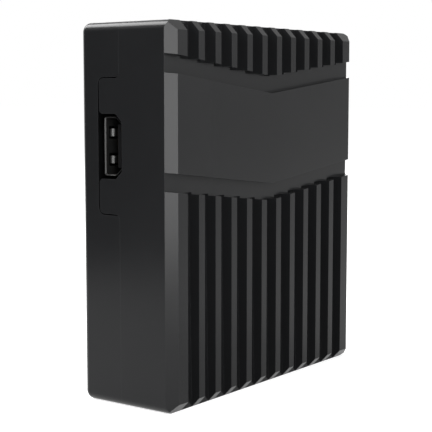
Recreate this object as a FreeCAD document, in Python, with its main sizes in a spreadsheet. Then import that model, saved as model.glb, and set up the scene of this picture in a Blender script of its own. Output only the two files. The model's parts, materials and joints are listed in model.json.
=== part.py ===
import FreeCAD, Part
import os
import re
import Sketcher
from FreeCAD import Placement, Rotation, Vector

# Finned converter box that stands upright on its base. Millimetres, +Z up, finned face to -Y,
# origin in the middle of the box's footprint. "Depth" values are counted back from the fin plane.

SIZES = {
    # case
    "overall_width": 87.0,
    "overall_height": 98.0,
    "case_depth": 30.0,
    "foot_proud": 1.0,
    "parting_depth": 17.0,
    "side_wall": 2.0,
    "front_wall": 2.0,
    "rear_wall": 2.0,
    "edge_round": 2.5,
    "rear_round": 2.0,
    "corner_bevel": 2.4,
    # fins and the V shaped band
    "fin_pitch": 7.0,
    "fin_width": 2.4,
    "least_corner_block": 6.2,
    "groove_depth": 3.4,
    "end_chamfer_depth": 2.4,
    "end_chamfer_height": 2.5,
    "channel_depth": 2.4,
    "channel_width": 4.7,
    "plate_below_top": 12.9,
    "plate_height": 24.4,
    "chevron_drop": 5.0,
    # tongues of the front shell and their notches in the rear shell
    "seam_gap": 0.3,
    "seam_flare": 1.2,
    "notch_round": 1.8,
    "left_notch_height": 35.0,
    "right_notch_height": 62.0,
    "right_notch_drop": 2.0,
    "right_notch_margin": 0.1,
    "locating_rib": 1.0,
    "locating_reach": 1.5,
    "locating_length": 50.0,
    "locating_clearance": 0.1,
    # board and its posts
    "board_thickness": 1.6,
    "board_side_gap": 2.0,
    "board_end_gap": 3.0,
    "post_inset": 4.5,
    "post_radius": 3.2,
    "middle_post_radius": 2.6,
    "screw_clearance": 0.05,
    "pilot_spare": 0.5,
    # fasteners and feet
    "case_screw_radius": 1.25,
    "case_screw_length": 18.0,
    "case_head_radius": 2.4,
    "case_head_height": 1.6,
    "counterbore_depth": 3.0,
    "head_clearance": 0.3,
    "driver_slot_width": 0.6,
    "driver_slot_length": 2.8,
    "driver_slot_depth": 0.8,
    "board_screw_radius": 1.0,
    "board_screw_length": 7.0,
    "board_head_radius": 2.0,
    "board_head_height": 1.3,
    "foot_radius": 4.5,
    "foot_seat": 0.5,
    "foot_inset_x": 18.0,
    "foot_inset_z": 11.0,
    "foot_round": 0.4,
    "label_width": 46.0,
    "label_height": 30.0,
    "label_depth": 0.3,
    # picture port, left side
    "hdmi_offset": 17.7,
    "hdmi_width": 15.0,
    "hdmi_height": 5.6,
    "hdmi_length": 11.5,
    "hdmi_recess": 0.9,
    "hdmi_lift": 0.55,
    "hdmi_chamfer": 2.0,
    "hdmi_sheet": 0.35,
    "hdmi_seat_inset": 1.0,
    "hdmi_cutout_width": 16.5,
    "hdmi_cutout_gap": 0.2,
    "hdmi_cutout_chamfer": 2.0,
    "hdmi_cutout_round": 1.2,
    "tongue_width": 11.2,
    "tongue_thickness": 1.1,
    "tongue_recess": 2.3,
    "insulator_block": 4.0,
    "contact_pitch": 1.0,
    "contact_width": 0.35,
    "contact_thickness": 0.12,
    "contact_length": 5.0,
    "hdmi_spring_offset": 3.45,
    "hdmi_spring_width": 1.9,
    "hdmi_spring_length": 5.6,
    "hdmi_spring_dip": 0.9,
    "spring_tip_gap": 0.5,
    "spring_curl": 1.1,
    "spring_root_lap": 0.4,
    "spring_root_flat": 0.6,
    "hdmi_window_width": 3.3,
    "hdmi_window_recess": 1.3,
    "hdmi_behind_gap": 1.5,
    # network port, right side
    "port_clearance": 0.3,
    "port_recess": 0.6,
    "ethernet_offset": 17.0,
    "ethernet_width": 16.0,
    "ethernet_height": 11.3,
    "ethernet_headroom": 0.3,
    "ethernet_length": 18.0,
    "ethernet_sheet": 0.25,
    "plug_width": 11.9,
    "plug_height": 6.8,
    "plug_depth": 13.0,
    "plug_rise": 2.2,
    "latch_width": 6.4,
    "latch_height": 1.5,
    "wire_pitch": 1.02,
    "wire_width": 0.45,
    "wire_thickness": 0.3,
    "wire_length": 7.0,
    "wire_tilt": 12.0,
    "light_width": 3.0,
    "light_height": 1.5,
    "light_length": 3.0,
    "light_beside_latch": 0.7,
    "light_above_plug": 0.3,
    # power socket
    "power_offset": 7.0,
    "power_width": 9.0,
    "power_height": 11.0,
    "power_length": 14.0,
    "power_bore_radius": 3.1,
    "power_bore_depth": 9.5,
    "power_pin_radius": 1.0,
    "power_pin_recess": 1.0,
    "power_spring_width": 2.4,
    "power_spring_thickness": 0.4,
    "power_spring_length": 7.0,
    "power_spring_sink": 0.3,
    # reset button
    "reset_offset": 20.0,
    "reset_rise": 2.2,
    "button_radius": 2.0,
    "button_clearance": 0.05,
    "button_recess": 0.1,
    "flange_radius": 2.8,
    "flange_thickness": 0.8,
    "dish_radius": 4.0,
    "dish_depth": 0.6,
    "plunger_radius": 1.25,
    "plunger_reach": 1.2,
    "plunger_bore": 1.9,
    "switch_setback": 4.5,
    "switch_length": 5.5,
    "switch_width": 6.0,
    "switch_height": 4.4,
    # status lights
    "light_offset": 28.0,
    "light_spacing": 5.0,
    "pipe_radius": 1.0,
    "pipe_rise": 1.2,
    "pipe_length": 4.8,
    "pipe_clearance": 0.05,
    "lamp_width": 1.6,
    "lamp_height": 2.0,
    # heat path
    "processor_width": 14.0,
    "processor_thickness": 1.2,
    "pad_thickness": 1.0,
    "pedestal_width": 16.0,
    "spreader_width": 52.0,
    "spreader_height": 50.0,
    "spreader_thickness": 1.5,
    # other parts on the board
    "memory_width": 9.0,
    "memory_height": 13.0,
    "memory_thickness": 1.1,
    "memory_offset_x": 12.0,
    "memory_offset_z": 21.0,
    "flash_width": 6.0,
    "flash_height": 8.0,
    "flash_thickness": 1.6,
    "hdmi_chip_width": 9.0,
    "hdmi_chip_thickness": 1.0,
    "hdmi_chip_setback": 19.0,
    "choke_length": 2.0,
    "choke_width": 1.2,
    "choke_thickness": 0.9,
    "choke_pitch": 2.8,
    "network_chip_width": 8.0,
    "network_chip_thickness": 0.9,
    "transformer_width": 9.0,
    "transformer_height": 13.0,
    "transformer_thickness": 5.5,
    "board_part_gap": 2.0,
    "crystal_width": 4.6,
    "crystal_height": 11.0,
    "crystal_thickness": 3.5,
    "capacitor_radius": 3.1,
    "capacitor_height": 8.0,
    "capacitor_pitch": 8.0,
    "inductor_width": 7.0,
    "inductor_thickness": 4.0,
    "inductor_setback": 13.0,
    "regulator_width": 5.0,
    "regulator_thickness": 1.5,
    "regulator_setback": 22.0,
    "ceramic_length": 1.6,
    "ceramic_width": 0.8,
    "ceramic_pitch": 2.6,
}

# Places worked out of the sizes.
LAYOUT = {
    "half_width": "overall_width / 2",
    "inner_half_width": "half_width - side_wall",
    "ceiling": "overall_height - side_wall",
    "middle": "overall_height / 2",
    "front": "-(case_depth + foot_proud) / 2",
    "parting": "front + parting_depth",
    "rear": "front + case_depth",
    "front_inner": "front + groove_depth + front_wall",
    "rear_inner": "rear - rear_wall",
    "chevron_slope": "chevron_drop / half_width",
    "plate_top_tip": "overall_height - plate_below_top - chevron_drop",
    "plate_bottom_tip": "plate_top_tip - plate_height",
    "upper_fins_tip": "plate_top_tip + channel_width",
    "lower_fins_tip": "plate_bottom_tip - channel_width",
    "board_back": "rear_inner - ethernet_headroom - ethernet_height",
    "board_front": "board_back - board_thickness",
    "board_half_width": "inner_half_width - board_side_gap",
    "board_bottom": "side_wall + board_end_gap",
    "board_top": "overall_height - board_bottom",
    "post_x": "board_half_width - post_inset",
    "post_low": "board_bottom + post_inset",
    "post_high": "board_top - post_inset",
    "right_notch_depth": "case_depth - rear_wall - right_notch_margin",
    "hdmi_z": "middle + hdmi_offset",
    "hdmi_mouth": "-half_width + hdmi_recess",
    "hdmi_front": "board_back + hdmi_lift",
    "hdmi_back": "hdmi_front + hdmi_height",
    "hdmi_centre": "(hdmi_front + hdmi_back) / 2",
    "left_notch_depth": "hdmi_back + hdmi_behind_gap - front",
    "hdmi_end": "hdmi_mouth + hdmi_length",
    "hdmi_inner_chamfer": "hdmi_chamfer - (2 - sqrt(2)) * hdmi_sheet",
    "insulator_face": "hdmi_end - insulator_block",
    "spring_root": "hdmi_mouth + hdmi_window_recess + hdmi_spring_length",
    "port_mouth": "half_width - port_recess",
    "ethernet_z": "middle + ethernet_offset",
    "ethernet_inner_end": "port_mouth - ethernet_length",
    "plug_low": "board_back + plug_rise",
    "plug_high": "plug_low + plug_height",
    "latch_top": "plug_high + latch_height",
    "plug_end": "port_mouth - plug_depth",
    "power_z": "middle - power_offset",
    "power_centre": "board_back + power_height / 2",
    "power_inner_end": "port_mouth - power_length",
    "power_pin_end": "port_mouth - power_pin_recess - power_pin_radius",
    "reset_z": "middle - reset_offset",
    "reset_centre": "board_back + reset_rise",
    "flange_outer": "inner_half_width - button_clearance",
    "flange_inner": "flange_outer - flange_thickness",
    "switch_face": "half_width - switch_setback",
    "lights_z": "middle - light_offset",
    "pipe_centre": "board_back + pipe_rise",
    "pipe_inner_end": "half_width - button_recess - pipe_length",
    "processor_face": "board_front - processor_thickness",
    "pad_face": "processor_face - pad_thickness",
    "spreader_face": "front_inner + spreader_thickness",
    "head_seat": "rear - counterbore_depth",
    "hdmi_chip_near_side": "-half_width + hdmi_chip_setback",
    "transformer_x": "ethernet_inner_end - board_part_gap - transformer_width / 2",
    "network_chip_x": "transformer_x - transformer_width / 2 - board_part_gap - network_chip_width / 2",
}

LEFT, RIGHT = -1, 1
OVERRUN = 1              # how far a cutter runs past the face that it opens
CHAMFER_OVERRUN = 0.5    # the same for a chamfer's wedge, as a share of the chamfer
CLOSE = 1e-4

REAR_ROW_CONTACTS = 10
FRONT_ROW_CONTACTS = 9
NETWORK_WIRES = 8
CHOKES = 4
CERAMICS_IN_ROW = 6
POWER_CANS = 2

document = FreeCAD.newDocument("Converter")
subparts = []


# Sheets and the binding of sizes

def bound(formula, in_layout=False):
    """The formula with each named size written the way its sheet is addressed."""
    def address(match):
        word = match.group()
        if word in SIZES:
            return "Sizes." + word
        if word in LAYOUT and not in_layout:
            return "Layout." + word
        return word
    return re.sub(r"[a-z][a-z_]+", address, str(formula))


def make_sheet(name, cells):
    sheet = document.addObject("Spreadsheet::Sheet", name)
    for row, (alias, content) in enumerate(cells.items(), start=1):
        sheet.set(f"A{row}", alias)
        sheet.set(f"B{row}", str(content))
        sheet.setAlias(f"B{row}", alias)
    document.recompute()
    return sheet


def number(formula):
    return float(layout.evalExpression(bound(formula)))


def bind(target, prop, formula):
    target.setExpression(prop, bound(formula))


def put(target, place):
    for axis, formula in zip("xyz", place):
        bind(target, "Placement.Base." + axis, formula)


# Building blocks

def block(name, x_span, y_span, z_span):
    box = document.addObject("Part::Box", name)
    for side, (low, high) in zip(("Length", "Width", "Height"), (x_span, y_span, z_span)):
        bind(box, side, f"({high}) - ({low})")
    put(box, (x_span[0], y_span[0], z_span[0]))
    return box


def about(centre, width):
    return (f"({centre}) - ({width}) / 2", f"({centre}) + ({width}) / 2")


def rod(name, axis, span, centre, radius):
    """A cylinder along an axis; centre gives its place on the other two axes, in X, Y, Z order."""
    cylinder = document.addObject("Part::Cylinder", name)
    turn = {"x": Rotation(Vector(0, 1, 0), 90), "y": Rotation(Vector(1, 0, 0), -90), "z": Rotation()}
    cylinder.Placement = Placement(Vector(), turn[axis])
    bind(cylinder, "Radius", radius)
    bind(cylinder, "Height", f"({span[1]}) - ({span[0]})")
    place = list(centre)
    place.insert("xyz".index(axis), span[0])
    put(cylinder, place)
    return cylinder


def fused(name, pieces):
    union = document.addObject("Part::MultiFuse", name)
    union.Shapes = pieces
    union.Refine = True
    return union


def cut(name, base, cutters):
    difference = document.addObject("Part::Cut", name)
    difference.Base = base
    difference.Tool = cutters[0] if len(cutters) == 1 else fused(name + "_cutters", cutters)
    difference.Refine = True
    return difference


def group(name, pieces):
    compound = document.addObject("Part::Compound", name)
    compound.Links = pieces
    return compound


def prism(name, plane, outline, span):
    """A padded polygon. On XZ it runs back along +Y, on XY up along +Z, on YZ along +X."""
    body = document.addObject("PartDesign::Body", name)
    sketch = body.newObject("Sketcher::SketchObject", name + "_outline")
    base = next(item for item in body.Origin.OriginFeatures if item.Role == plane + "_Plane")
    sketch.AttachmentSupport = (base, [""])
    sketch.MapMode = "FlatFace"
    corners = [Vector(number(across), number(up), 0) for across, up in outline]
    for start, end in zip(corners, corners[1:] + corners[:1]):
        sketch.addGeometry(Part.LineSegment(start, end))
    for line in range(len(corners)):
        sketch.addConstraint(Sketcher.Constraint("Coincident", line, 2, (line + 1) % len(corners), 1))
    for line, corner in enumerate(outline):
        for kind, formula in zip(("DistanceX", "DistanceY"), corner):
            place = sketch.addConstraint(Sketcher.Constraint(kind, -1, 1, line, 1, number(formula)))
            bind(sketch, f"Constraints[{place}]", formula)
    backwards = plane == "XZ"
    bind(sketch, "AttachmentOffset.Base.z", f"-({span[0]})" if backwards else span[0])
    pad = body.newObject("PartDesign::Pad", name + "_pad")
    pad.Profile = sketch
    pad.Reversed = backwards
    bind(pad, "Length", f"({span[1]}) - ({span[0]})")
    body.Tip = pad
    return body


def rectangle(across, up):
    return [(across[0], up[0]), (across[1], up[0]), (across[1], up[1]), (across[0], up[1])]


def round_edges(body, name, radius, chosen):
    """Fillets the edges of the body's tip that the test picks."""
    document.recompute()
    solid = body.Tip
    edges = [f"Edge{place}" for place, edge in enumerate(solid.Shape.Edges, start=1) if chosen(edge)]
    fillet = body.newObject("PartDesign::Fillet", name)
    fillet.Base = (solid, edges)
    bind(fillet, "Radius", radius)
    body.Tip = fillet


def runs_along(edge, axis):
    run = edge.lastVertex().Point - edge.firstVertex().Point
    return run.Length > CLOSE and run.cross(axis).Length < CLOSE


def lies_at(edge, axis, place):
    return all(abs(vertex.Point.dot(axis) - place) < CLOSE for vertex in edge.Vertexes)


def subpart(name, shape_object):
    shape_object.Label = name
    subparts.append(shape_object)
    return shape_object


# Case

def wall_span(side, overrun=0):
    """The thickness of the left or right wall, along X."""
    outer, inner = f"half_width + {overrun}", f"inner_half_width - {overrun}"
    return (inner, outer) if side == RIGHT else (f"-({outer})", f"-({inner})")


def case_block(name, y_span):
    outline = rectangle(("-half_width", "half_width"), ("0", "overall_height"))
    body = prism(name, "XZ", outline, y_span)
    round_edges(body, name + "_edges", "edge_round", lambda edge: runs_along(edge, Vector(0, 1, 0)))
    return body


def corner_bevel(name, side):
    near, far = f"half_width - corner_bevel - {OVERRUN}", f"half_width + {OVERRUN}"
    deep, out = f"front + corner_bevel + {OVERRUN}", f"front - {OVERRUN}"
    outline = [(f"{side} * ({near})", out), (f"{side} * ({far})", out), (f"{side} * ({far})", deep)]
    if side == LEFT:
        outline.reverse()
    return prism(name, "XY", outline, (f"-{OVERRUN}", f"overall_height + {OVERRUN}"))


def end_chamfer(name, edge, inwards):
    """A wedge off the front edge of the top or the base; inwards is the sign of the way into the case."""
    more = CHAMFER_OVERRUN
    outer_z = f"{edge} - {inwards * more} * end_chamfer_height"
    inner_z = f"{edge} + {inwards * (1 + more)} * end_chamfer_height"
    shallow = f"front - {more} * end_chamfer_depth"
    deep = f"front + {1 + more} * end_chamfer_depth"
    return prism(name, "YZ", [(shallow, inner_z), (shallow, outer_z), (deep, outer_z)],
                 (f"-half_width - {OVERRUN}", f"half_width + {OVERRUN}"))


def channel(name, bottom_tip):
    """A V shaped channel right across the front, as wide as the space between fins and plate."""
    side_rise = f"chevron_slope * (half_width + {OVERRUN})"
    out = f"half_width + {OVERRUN}"
    outline = [
        (f"-({out})", f"{bottom_tip} + {side_rise}"),
        ("0", bottom_tip),
        (out, f"{bottom_tip} + {side_rise}"),
        (out, f"{bottom_tip} + {side_rise} + channel_width"),
        ("0", f"{bottom_tip} + channel_width"),
        (f"-({out})", f"{bottom_tip} + {side_rise} + channel_width"),
    ]
    return prism(name, "XZ", outline, (f"front - {OVERRUN}", "front + channel_depth"))


def grooves():
    """Each groove stops square across, where it opens into the V channel over its whole width."""
    span = number("overall_width - 2 * least_corner_block + fin_width")
    count = int(span / number("fin_pitch") + CLOSE)
    field = f"({count} * fin_pitch - fin_width)"
    cutters = []
    for place in range(count):
        left = f"{place} * fin_pitch - {field} / 2"
        x_span = (left, f"{left} + fin_pitch - fin_width")
        outer = f"({field} / 2 - {min(place, count - 1 - place)} * fin_pitch)"
        inner = f"max(0; {outer} - fin_pitch + fin_width)"
        y_span = (f"front - {OVERRUN}", "front + groove_depth")
        top = (f"upper_fins_tip + chevron_slope * {inner}", f"overall_height + {OVERRUN}")
        bottom = (f"-{OVERRUN}", f"lower_fins_tip + chevron_slope * {outer}")
        cutters.append(block(f"upper_groove_{place + 1}", x_span, y_span, top))
        cutters.append(block(f"lower_groove_{place + 1}", x_span, y_span, bottom))
    return cutters


def flare(name, x_span, y, z, toward_y, toward_z, radius):
    """The sliver between a square corner and the round that eases it, at y, z."""
    y_end, z_end = f"{y} + {toward_y} * {radius}", f"{z} + {toward_z} * {radius}"
    y_span = (y, y_end) if toward_y > 0 else (y_end, y)
    z_span = (z, z_end) if toward_z > 0 else (z_end, z)
    square = block(name + "_square", x_span, y_span, z_span)
    wider = (f"{x_span[0]} - {OVERRUN}", f"{x_span[1]} + {OVERRUN}")
    return cut(name, square, [rod(name + "_round", "x", wider, (y_end, z_end), radius)])


def side_tongue(name, side, is_notch):
    """The tongue of the front shell in a side wall, or the larger notch that takes it."""
    word = "left" if side == LEFT else "right"
    centre = "hdmi_z" if side == LEFT else "(middle - right_notch_drop)"
    reach = f"front + {word}_notch_depth"
    height, corner, ease = f"{word}_notch_height", "notch_round", "seam_flare"
    x_span = wall_span(side, OVERRUN if is_notch else 0)
    if not is_notch:
        reach += " - seam_gap"
        height = f"({height} - 2 * seam_gap)"
        corner, ease = "notch_round - seam_gap", "(seam_flare + seam_gap)"
    low, high = about(centre, height)
    body = prism(name, "YZ", rectangle((f"parting - {OVERRUN}", reach), (low, high)), x_span)
    end = number(reach)
    round_edges(body, name + "_corners", corner,
                lambda edge: runs_along(edge, Vector(1, 0, 0)) and lies_at(edge, Vector(0, 1, 0), end))
    eases = [
        flare(name + "_low_flare", x_span, "parting", low, 1, -1, ease),
        flare(name + "_high_flare", x_span, "parting", high, 1, 1, ease),
    ]
    return [body] + eases


def hdmi_cutout():
    """Opens into the rear line of the seam, with eased corners there and bevels at its front."""
    front = "board_back - hdmi_cutout_gap + hdmi_lift"
    end = "front + left_notch_depth - seam_gap"
    low, high = about("hdmi_z", "hdmi_cutout_width")
    outline = [
        (f"{end} + {OVERRUN}", low),
        (f"{end} + {OVERRUN}", high),
        (f"{front} + hdmi_cutout_chamfer", high),
        (front, f"{high} - hdmi_cutout_chamfer"),
        (front, f"{low} + hdmi_cutout_chamfer"),
        (f"{front} + hdmi_cutout_chamfer", low),
    ]
    x_span = wall_span(LEFT, OVERRUN)
    return [
        prism("hdmi_cutout", "YZ", outline, x_span),
        flare("hdmi_cutout_low", x_span, end, low, -1, -1, "hdmi_cutout_round"),
        flare("hdmi_cutout_high", x_span, end, high, -1, 1, "hdmi_cutout_round"),
    ]


def right_cutouts():
    x_span = wall_span(RIGHT, OVERRUN)
    y_span = ("board_back - port_clearance", f"rear_inner + {OVERRUN}")
    face = ("half_width - dish_depth", f"half_width + {OVERRUN}")
    button = ("reset_centre", "reset_z")
    holes = [
        block("ethernet_cutout", x_span, y_span, about("ethernet_z", "ethernet_width + 2 * port_clearance")),
        block("power_cutout", x_span, y_span, about("power_z", "power_width + 2 * port_clearance")),
        rod("reset_hole", "x", x_span, button, "button_radius + button_clearance"),
        rod("reset_dish", "x", face, button, "dish_radius"),
    ]
    radius = "pipe_radius + pipe_clearance"
    holes += [rod(f"light_hole_{place}", "x", x_span, ("pipe_centre", z), radius)
              for place, z in enumerate(light_heights(), start=1)]
    return holes


def light_heights():
    return ["lights_z - light_spacing / 2", "lights_z + light_spacing / 2"]


def corner_places():
    return [(f"{x_sign} * post_x", z) for x_sign in (-1, 1) for z in ("post_low", "post_high")]


def middle_places():
    return [("0", "post_low"), ("0", "post_high")]


def locating_ribs():
    """Ribs of the front shell that slide inside the rear shell's top and base."""
    x_span = about("0", "locating_length")
    behind = ("parting - 2 * locating_reach", "parting")
    ahead = ("parting", "parting + locating_reach")
    top_gap, low_gap = "ceiling - locating_clearance", "side_wall + locating_clearance"
    return [
        block("top_rib_root", x_span, behind, (f"{top_gap} - locating_rib", "ceiling")),
        block("top_rib", x_span, ahead, (f"{top_gap} - locating_rib", top_gap)),
        block("base_rib_root", x_span, behind, ("side_wall", f"{low_gap} + locating_rib")),
        block("base_rib", x_span, ahead, (low_gap, f"{low_gap} + locating_rib")),
    ]


def make_front_shell():
    inside = ("front_inner", f"parting + {OVERRUN}")
    cutters = [
        block("front_cavity", ("-inner_half_width", "inner_half_width"), inside, ("side_wall", "ceiling")),
        corner_bevel("left_bevel", LEFT),
        corner_bevel("right_bevel", RIGHT),
        end_chamfer("top_chamfer", "overall_height", -1),
        end_chamfer("base_chamfer", "0", 1),
        channel("upper_channel", "plate_top_tip"),
        channel("lower_channel", "lower_fins_tip"),
    ]
    shaped = cut("finned_block", case_block("front_block", ("front", "parting")), cutters + grooves())
    additions = side_tongue("left_tongue", LEFT, False) + side_tongue("right_tongue", RIGHT, False)
    additions += locating_ribs()
    post_span = ("front_inner", "board_front")
    beyond = f"board_front + {OVERRUN}"
    pilots = []
    for place, centre in enumerate(corner_places(), start=1):
        additions.append(rod(f"front_post_{place}", "y", post_span, centre, "post_radius"))
        pilots.append(rod(f"front_pilot_{place}", "y",
                          ("head_seat - case_screw_length - pilot_spare", beyond), centre,
                          "case_screw_radius + screw_clearance"))
    for place, centre in enumerate(middle_places(), start=1):
        additions.append(rod(f"middle_post_{place}", "y", post_span, centre, "middle_post_radius"))
        pilots.append(rod(f"middle_pilot_{place}", "y",
                          ("board_back - board_screw_length - pilot_spare", beyond), centre,
                          "board_screw_radius + screw_clearance"))
    joined = fused("front_solid", [shaped] + additions)
    subpart("front_shell", cut("front_shell", joined, pilots + hdmi_cutout() + right_cutouts()))


def foot_places():
    x, z = "half_width - foot_inset_x", "foot_inset_z"
    return [(f"{sign} * ({x})", place) for sign in (-1, 1) for place in (z, f"overall_height - {z}")]


def make_rear_shell():
    outer = case_block("rear_block", ("parting", "rear"))
    back = number("rear")
    round_edges(outer, "rear_edges", "rear_round", lambda edge: lies_at(edge, Vector(0, 1, 0), back))
    cutters = [block("rear_cavity", ("-inner_half_width", "inner_half_width"),
                     (f"parting - {OVERRUN}", "rear_inner"), ("side_wall", "ceiling"))]
    cutters += side_tongue("left_notch", LEFT, True) + side_tongue("right_notch", RIGHT, True)
    beyond = f"rear + {OVERRUN}"
    posts, holes = [], []
    for place, centre in enumerate(corner_places(), start=1):
        posts.append(rod(f"rear_post_{place}", "y", ("board_back", "rear_inner"), centre, "post_radius"))
        holes.append(rod(f"rear_hole_{place}", "y", (f"board_back - {OVERRUN}", "rear"), centre,
                         "case_screw_radius + screw_clearance"))
        holes.append(rod(f"counterbore_{place}", "y", ("head_seat", beyond), centre,
                         "case_head_radius + head_clearance"))
    holes += [rod(f"foot_seat_{place}", "y", ("rear - foot_seat", beyond), centre, "foot_radius")
              for place, centre in enumerate(foot_places(), start=1)]
    holes.append(block("label_recess", about("0", "label_width"), ("rear - label_depth", beyond),
                       about("middle", "label_height")))
    tub = cut("rear_tub", outer, cutters)
    subpart("rear_shell", cut("rear_shell", fused("rear_solid", [tub] + posts), holes))


def make_screws(name, places, seat, length, radius, head_radius, head_height):
    top = f"{seat} + {head_height}"
    depth = (f"{top} - driver_slot_depth", f"{top} + {OVERRUN}")
    screws = []
    for place, (x, z) in enumerate(places, start=1):
        shank = rod(f"{name}_shank_{place}", "y", (f"{seat} - {length}", seat), (x, z), radius)
        head = rod(f"{name}_head_{place}", "y", (seat, top), (x, z), head_radius)
        long_x, long_z = about(x, "driver_slot_length"), about(z, "driver_slot_length")
        slots = [
            block(f"{name}_slot_{place}", long_x, depth, about(z, "driver_slot_width")),
            block(f"{name}_cross_{place}", about(x, "driver_slot_width"), depth, long_z),
        ]
        screws.append(cut(f"{name}_{place}", fused(f"{name}_blank_{place}", [shank, head]), slots))
    subpart(name, group(name, screws))


def make_rubber_feet():
    shoulder = "rear + foot_proud - foot_round"
    feet = []
    for place, (x, z) in enumerate(foot_places(), start=1):
        disc = rod(f"foot_disc_{place}", "y", ("rear - foot_seat", shoulder), (x, z), "foot_radius")
        crown = document.addObject("Part::Cone", f"foot_crown_{place}")
        crown.Placement = Placement(Vector(), Rotation(Vector(1, 0, 0), -90))
        bind(crown, "Radius1", "foot_radius")
        bind(crown, "Radius2", "foot_radius - foot_round")
        bind(crown, "Height", "foot_round")
        put(crown, (x, shoulder, z))
        feet.append(fused(f"foot_{place}", [disc, crown]))
    subpart("rubber_feet", group("rubber_feet", feet))


# Board and what is soldered to it

def make_main_board():
    blank = block("board_blank", ("-board_half_width", "board_half_width"), ("board_front", "board_back"),
                  ("board_bottom", "board_top"))
    through = (f"board_front - {OVERRUN}", f"board_back + {OVERRUN}")
    holes = [rod(f"corner_hole_{place}", "y", through, centre, "case_screw_radius + head_clearance")
             for place, centre in enumerate(corner_places(), start=1)]
    holes += [rod(f"middle_hole_{place}", "y", through, centre, "board_screw_radius + screw_clearance")
              for place, centre in enumerate(middle_places(), start=1)]
    subpart("main_board", cut("main_board", blank, holes))


def on_back(name, x, z, width, height, thickness):
    return block(name, about(x, width), ("board_back", f"board_back + {thickness}"), about(z, height))


def on_front(name, x, z, width, height, thickness):
    return block(name, about(x, width), (f"board_front - {thickness}", "board_front"), about(z, height))


def receptacle_outline(inset, chamfer):
    low, high = about("hdmi_z", f"hdmi_width - 2 * {inset}")
    front, back = f"hdmi_front + {inset}", f"hdmi_back - {inset}"
    return [
        (back, low), (back, high), (f"{front} + {chamfer}", high), (front, f"{high} - {chamfer}"),
        (front, f"{low} + {chamfer}"), (f"{front} + {chamfer}", low),
    ]


def leaf_spring(name, z):
    """A tab of the receptacle's own sheet, bent into its mouth and curled back at the tip."""
    tip = "(hdmi_mouth + hdmi_window_recess + spring_tip_gap)"
    outer = [
        ("spring_root + spring_root_lap", "hdmi_back"),
        ("spring_root - spring_root_flat", "hdmi_back"),
        (f"{tip} + spring_curl", "hdmi_back - hdmi_spring_dip"),
        (tip, "hdmi_back - hdmi_spring_dip / 2"),
    ]
    inner = [(x, f"{y} - hdmi_sheet") for x, y in reversed(outer)]
    return prism(name, "XY", outer + inner, about(z, "hdmi_spring_width"))


def make_hdmi_shell():
    tube = prism("receptacle_outside", "YZ", receptacle_outline("0", "hdmi_chamfer"),
                 ("hdmi_mouth", "hdmi_end"))
    bore = prism("receptacle_inside", "YZ", receptacle_outline("hdmi_sheet", "hdmi_inner_chamfer"),
                 (f"hdmi_mouth - {OVERRUN}", f"hdmi_end + {OVERRUN}"))
    window_x = ("hdmi_mouth + hdmi_window_recess", "spring_root")
    window_y = ("hdmi_back - 2 * hdmi_sheet", f"hdmi_back + {OVERRUN}")
    seat_x = ("-board_half_width + hdmi_seat_inset", "hdmi_end - hdmi_seat_inset")
    seat_y = ("board_back", "hdmi_front + hdmi_sheet / 2")
    cutters, additions = [bore], []
    for sign, word in ((-1, "low"), (1, "high")):
        z = f"hdmi_z + {sign} * hdmi_spring_offset"
        cutters.append(block(f"{word}_window", window_x, window_y, about(z, "hdmi_window_width")))
        additions.append(leaf_spring(f"{word}_leaf", z))
        additions.append(block(f"{word}_seat", seat_x, seat_y, about(z, "hdmi_spring_width")))
    shell = cut("receptacle_tube", tube, cutters)
    subpart("hdmi_shell", fused("hdmi_shell", [shell] + additions))


def make_hdmi_inside():
    core = prism("insulator_core", "YZ", receptacle_outline("hdmi_sheet", "hdmi_inner_chamfer"),
                 ("insulator_face", "hdmi_end"))
    tongue = block("insulator_tongue", ("hdmi_mouth + tongue_recess", "insulator_face"),
                   about("hdmi_centre", "tongue_thickness"), about("hdmi_z", "tongue_width"))
    subpart("hdmi_insulator", fused("hdmi_insulator", [core, tongue]))

    x_span = ("insulator_face - contact_length", "insulator_face")
    contacts = []
    for count, side in ((REAR_ROW_CONTACTS, 1), (FRONT_ROW_CONTACTS, -1)):
        centre = f"hdmi_centre + {side} * (tongue_thickness + contact_thickness) / 2"
        for place in range(count):
            z = f"hdmi_z + ({place} - {(count - 1) / 2}) * contact_pitch"
            contacts.append(block(f"hdmi_contact_{count}_{place + 1}", x_span,
                                  about(centre, "contact_thickness"), about(z, "contact_width")))
    subpart("hdmi_contacts", group("hdmi_contacts", contacts))


def light_places():
    side = "(latch_width / 2 + light_width / 2 + light_beside_latch)"
    return [f"ethernet_z + {sign} * {side}" for sign in (-1, 1)]


def light_block(name, z, overrun=0):
    x_span = ("port_mouth - light_length", f"port_mouth + {overrun}")
    y_span = ("plug_high + light_above_plug", "plug_high + light_above_plug + light_height")
    return block(name, x_span, y_span, about(z, "light_width"))


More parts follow.
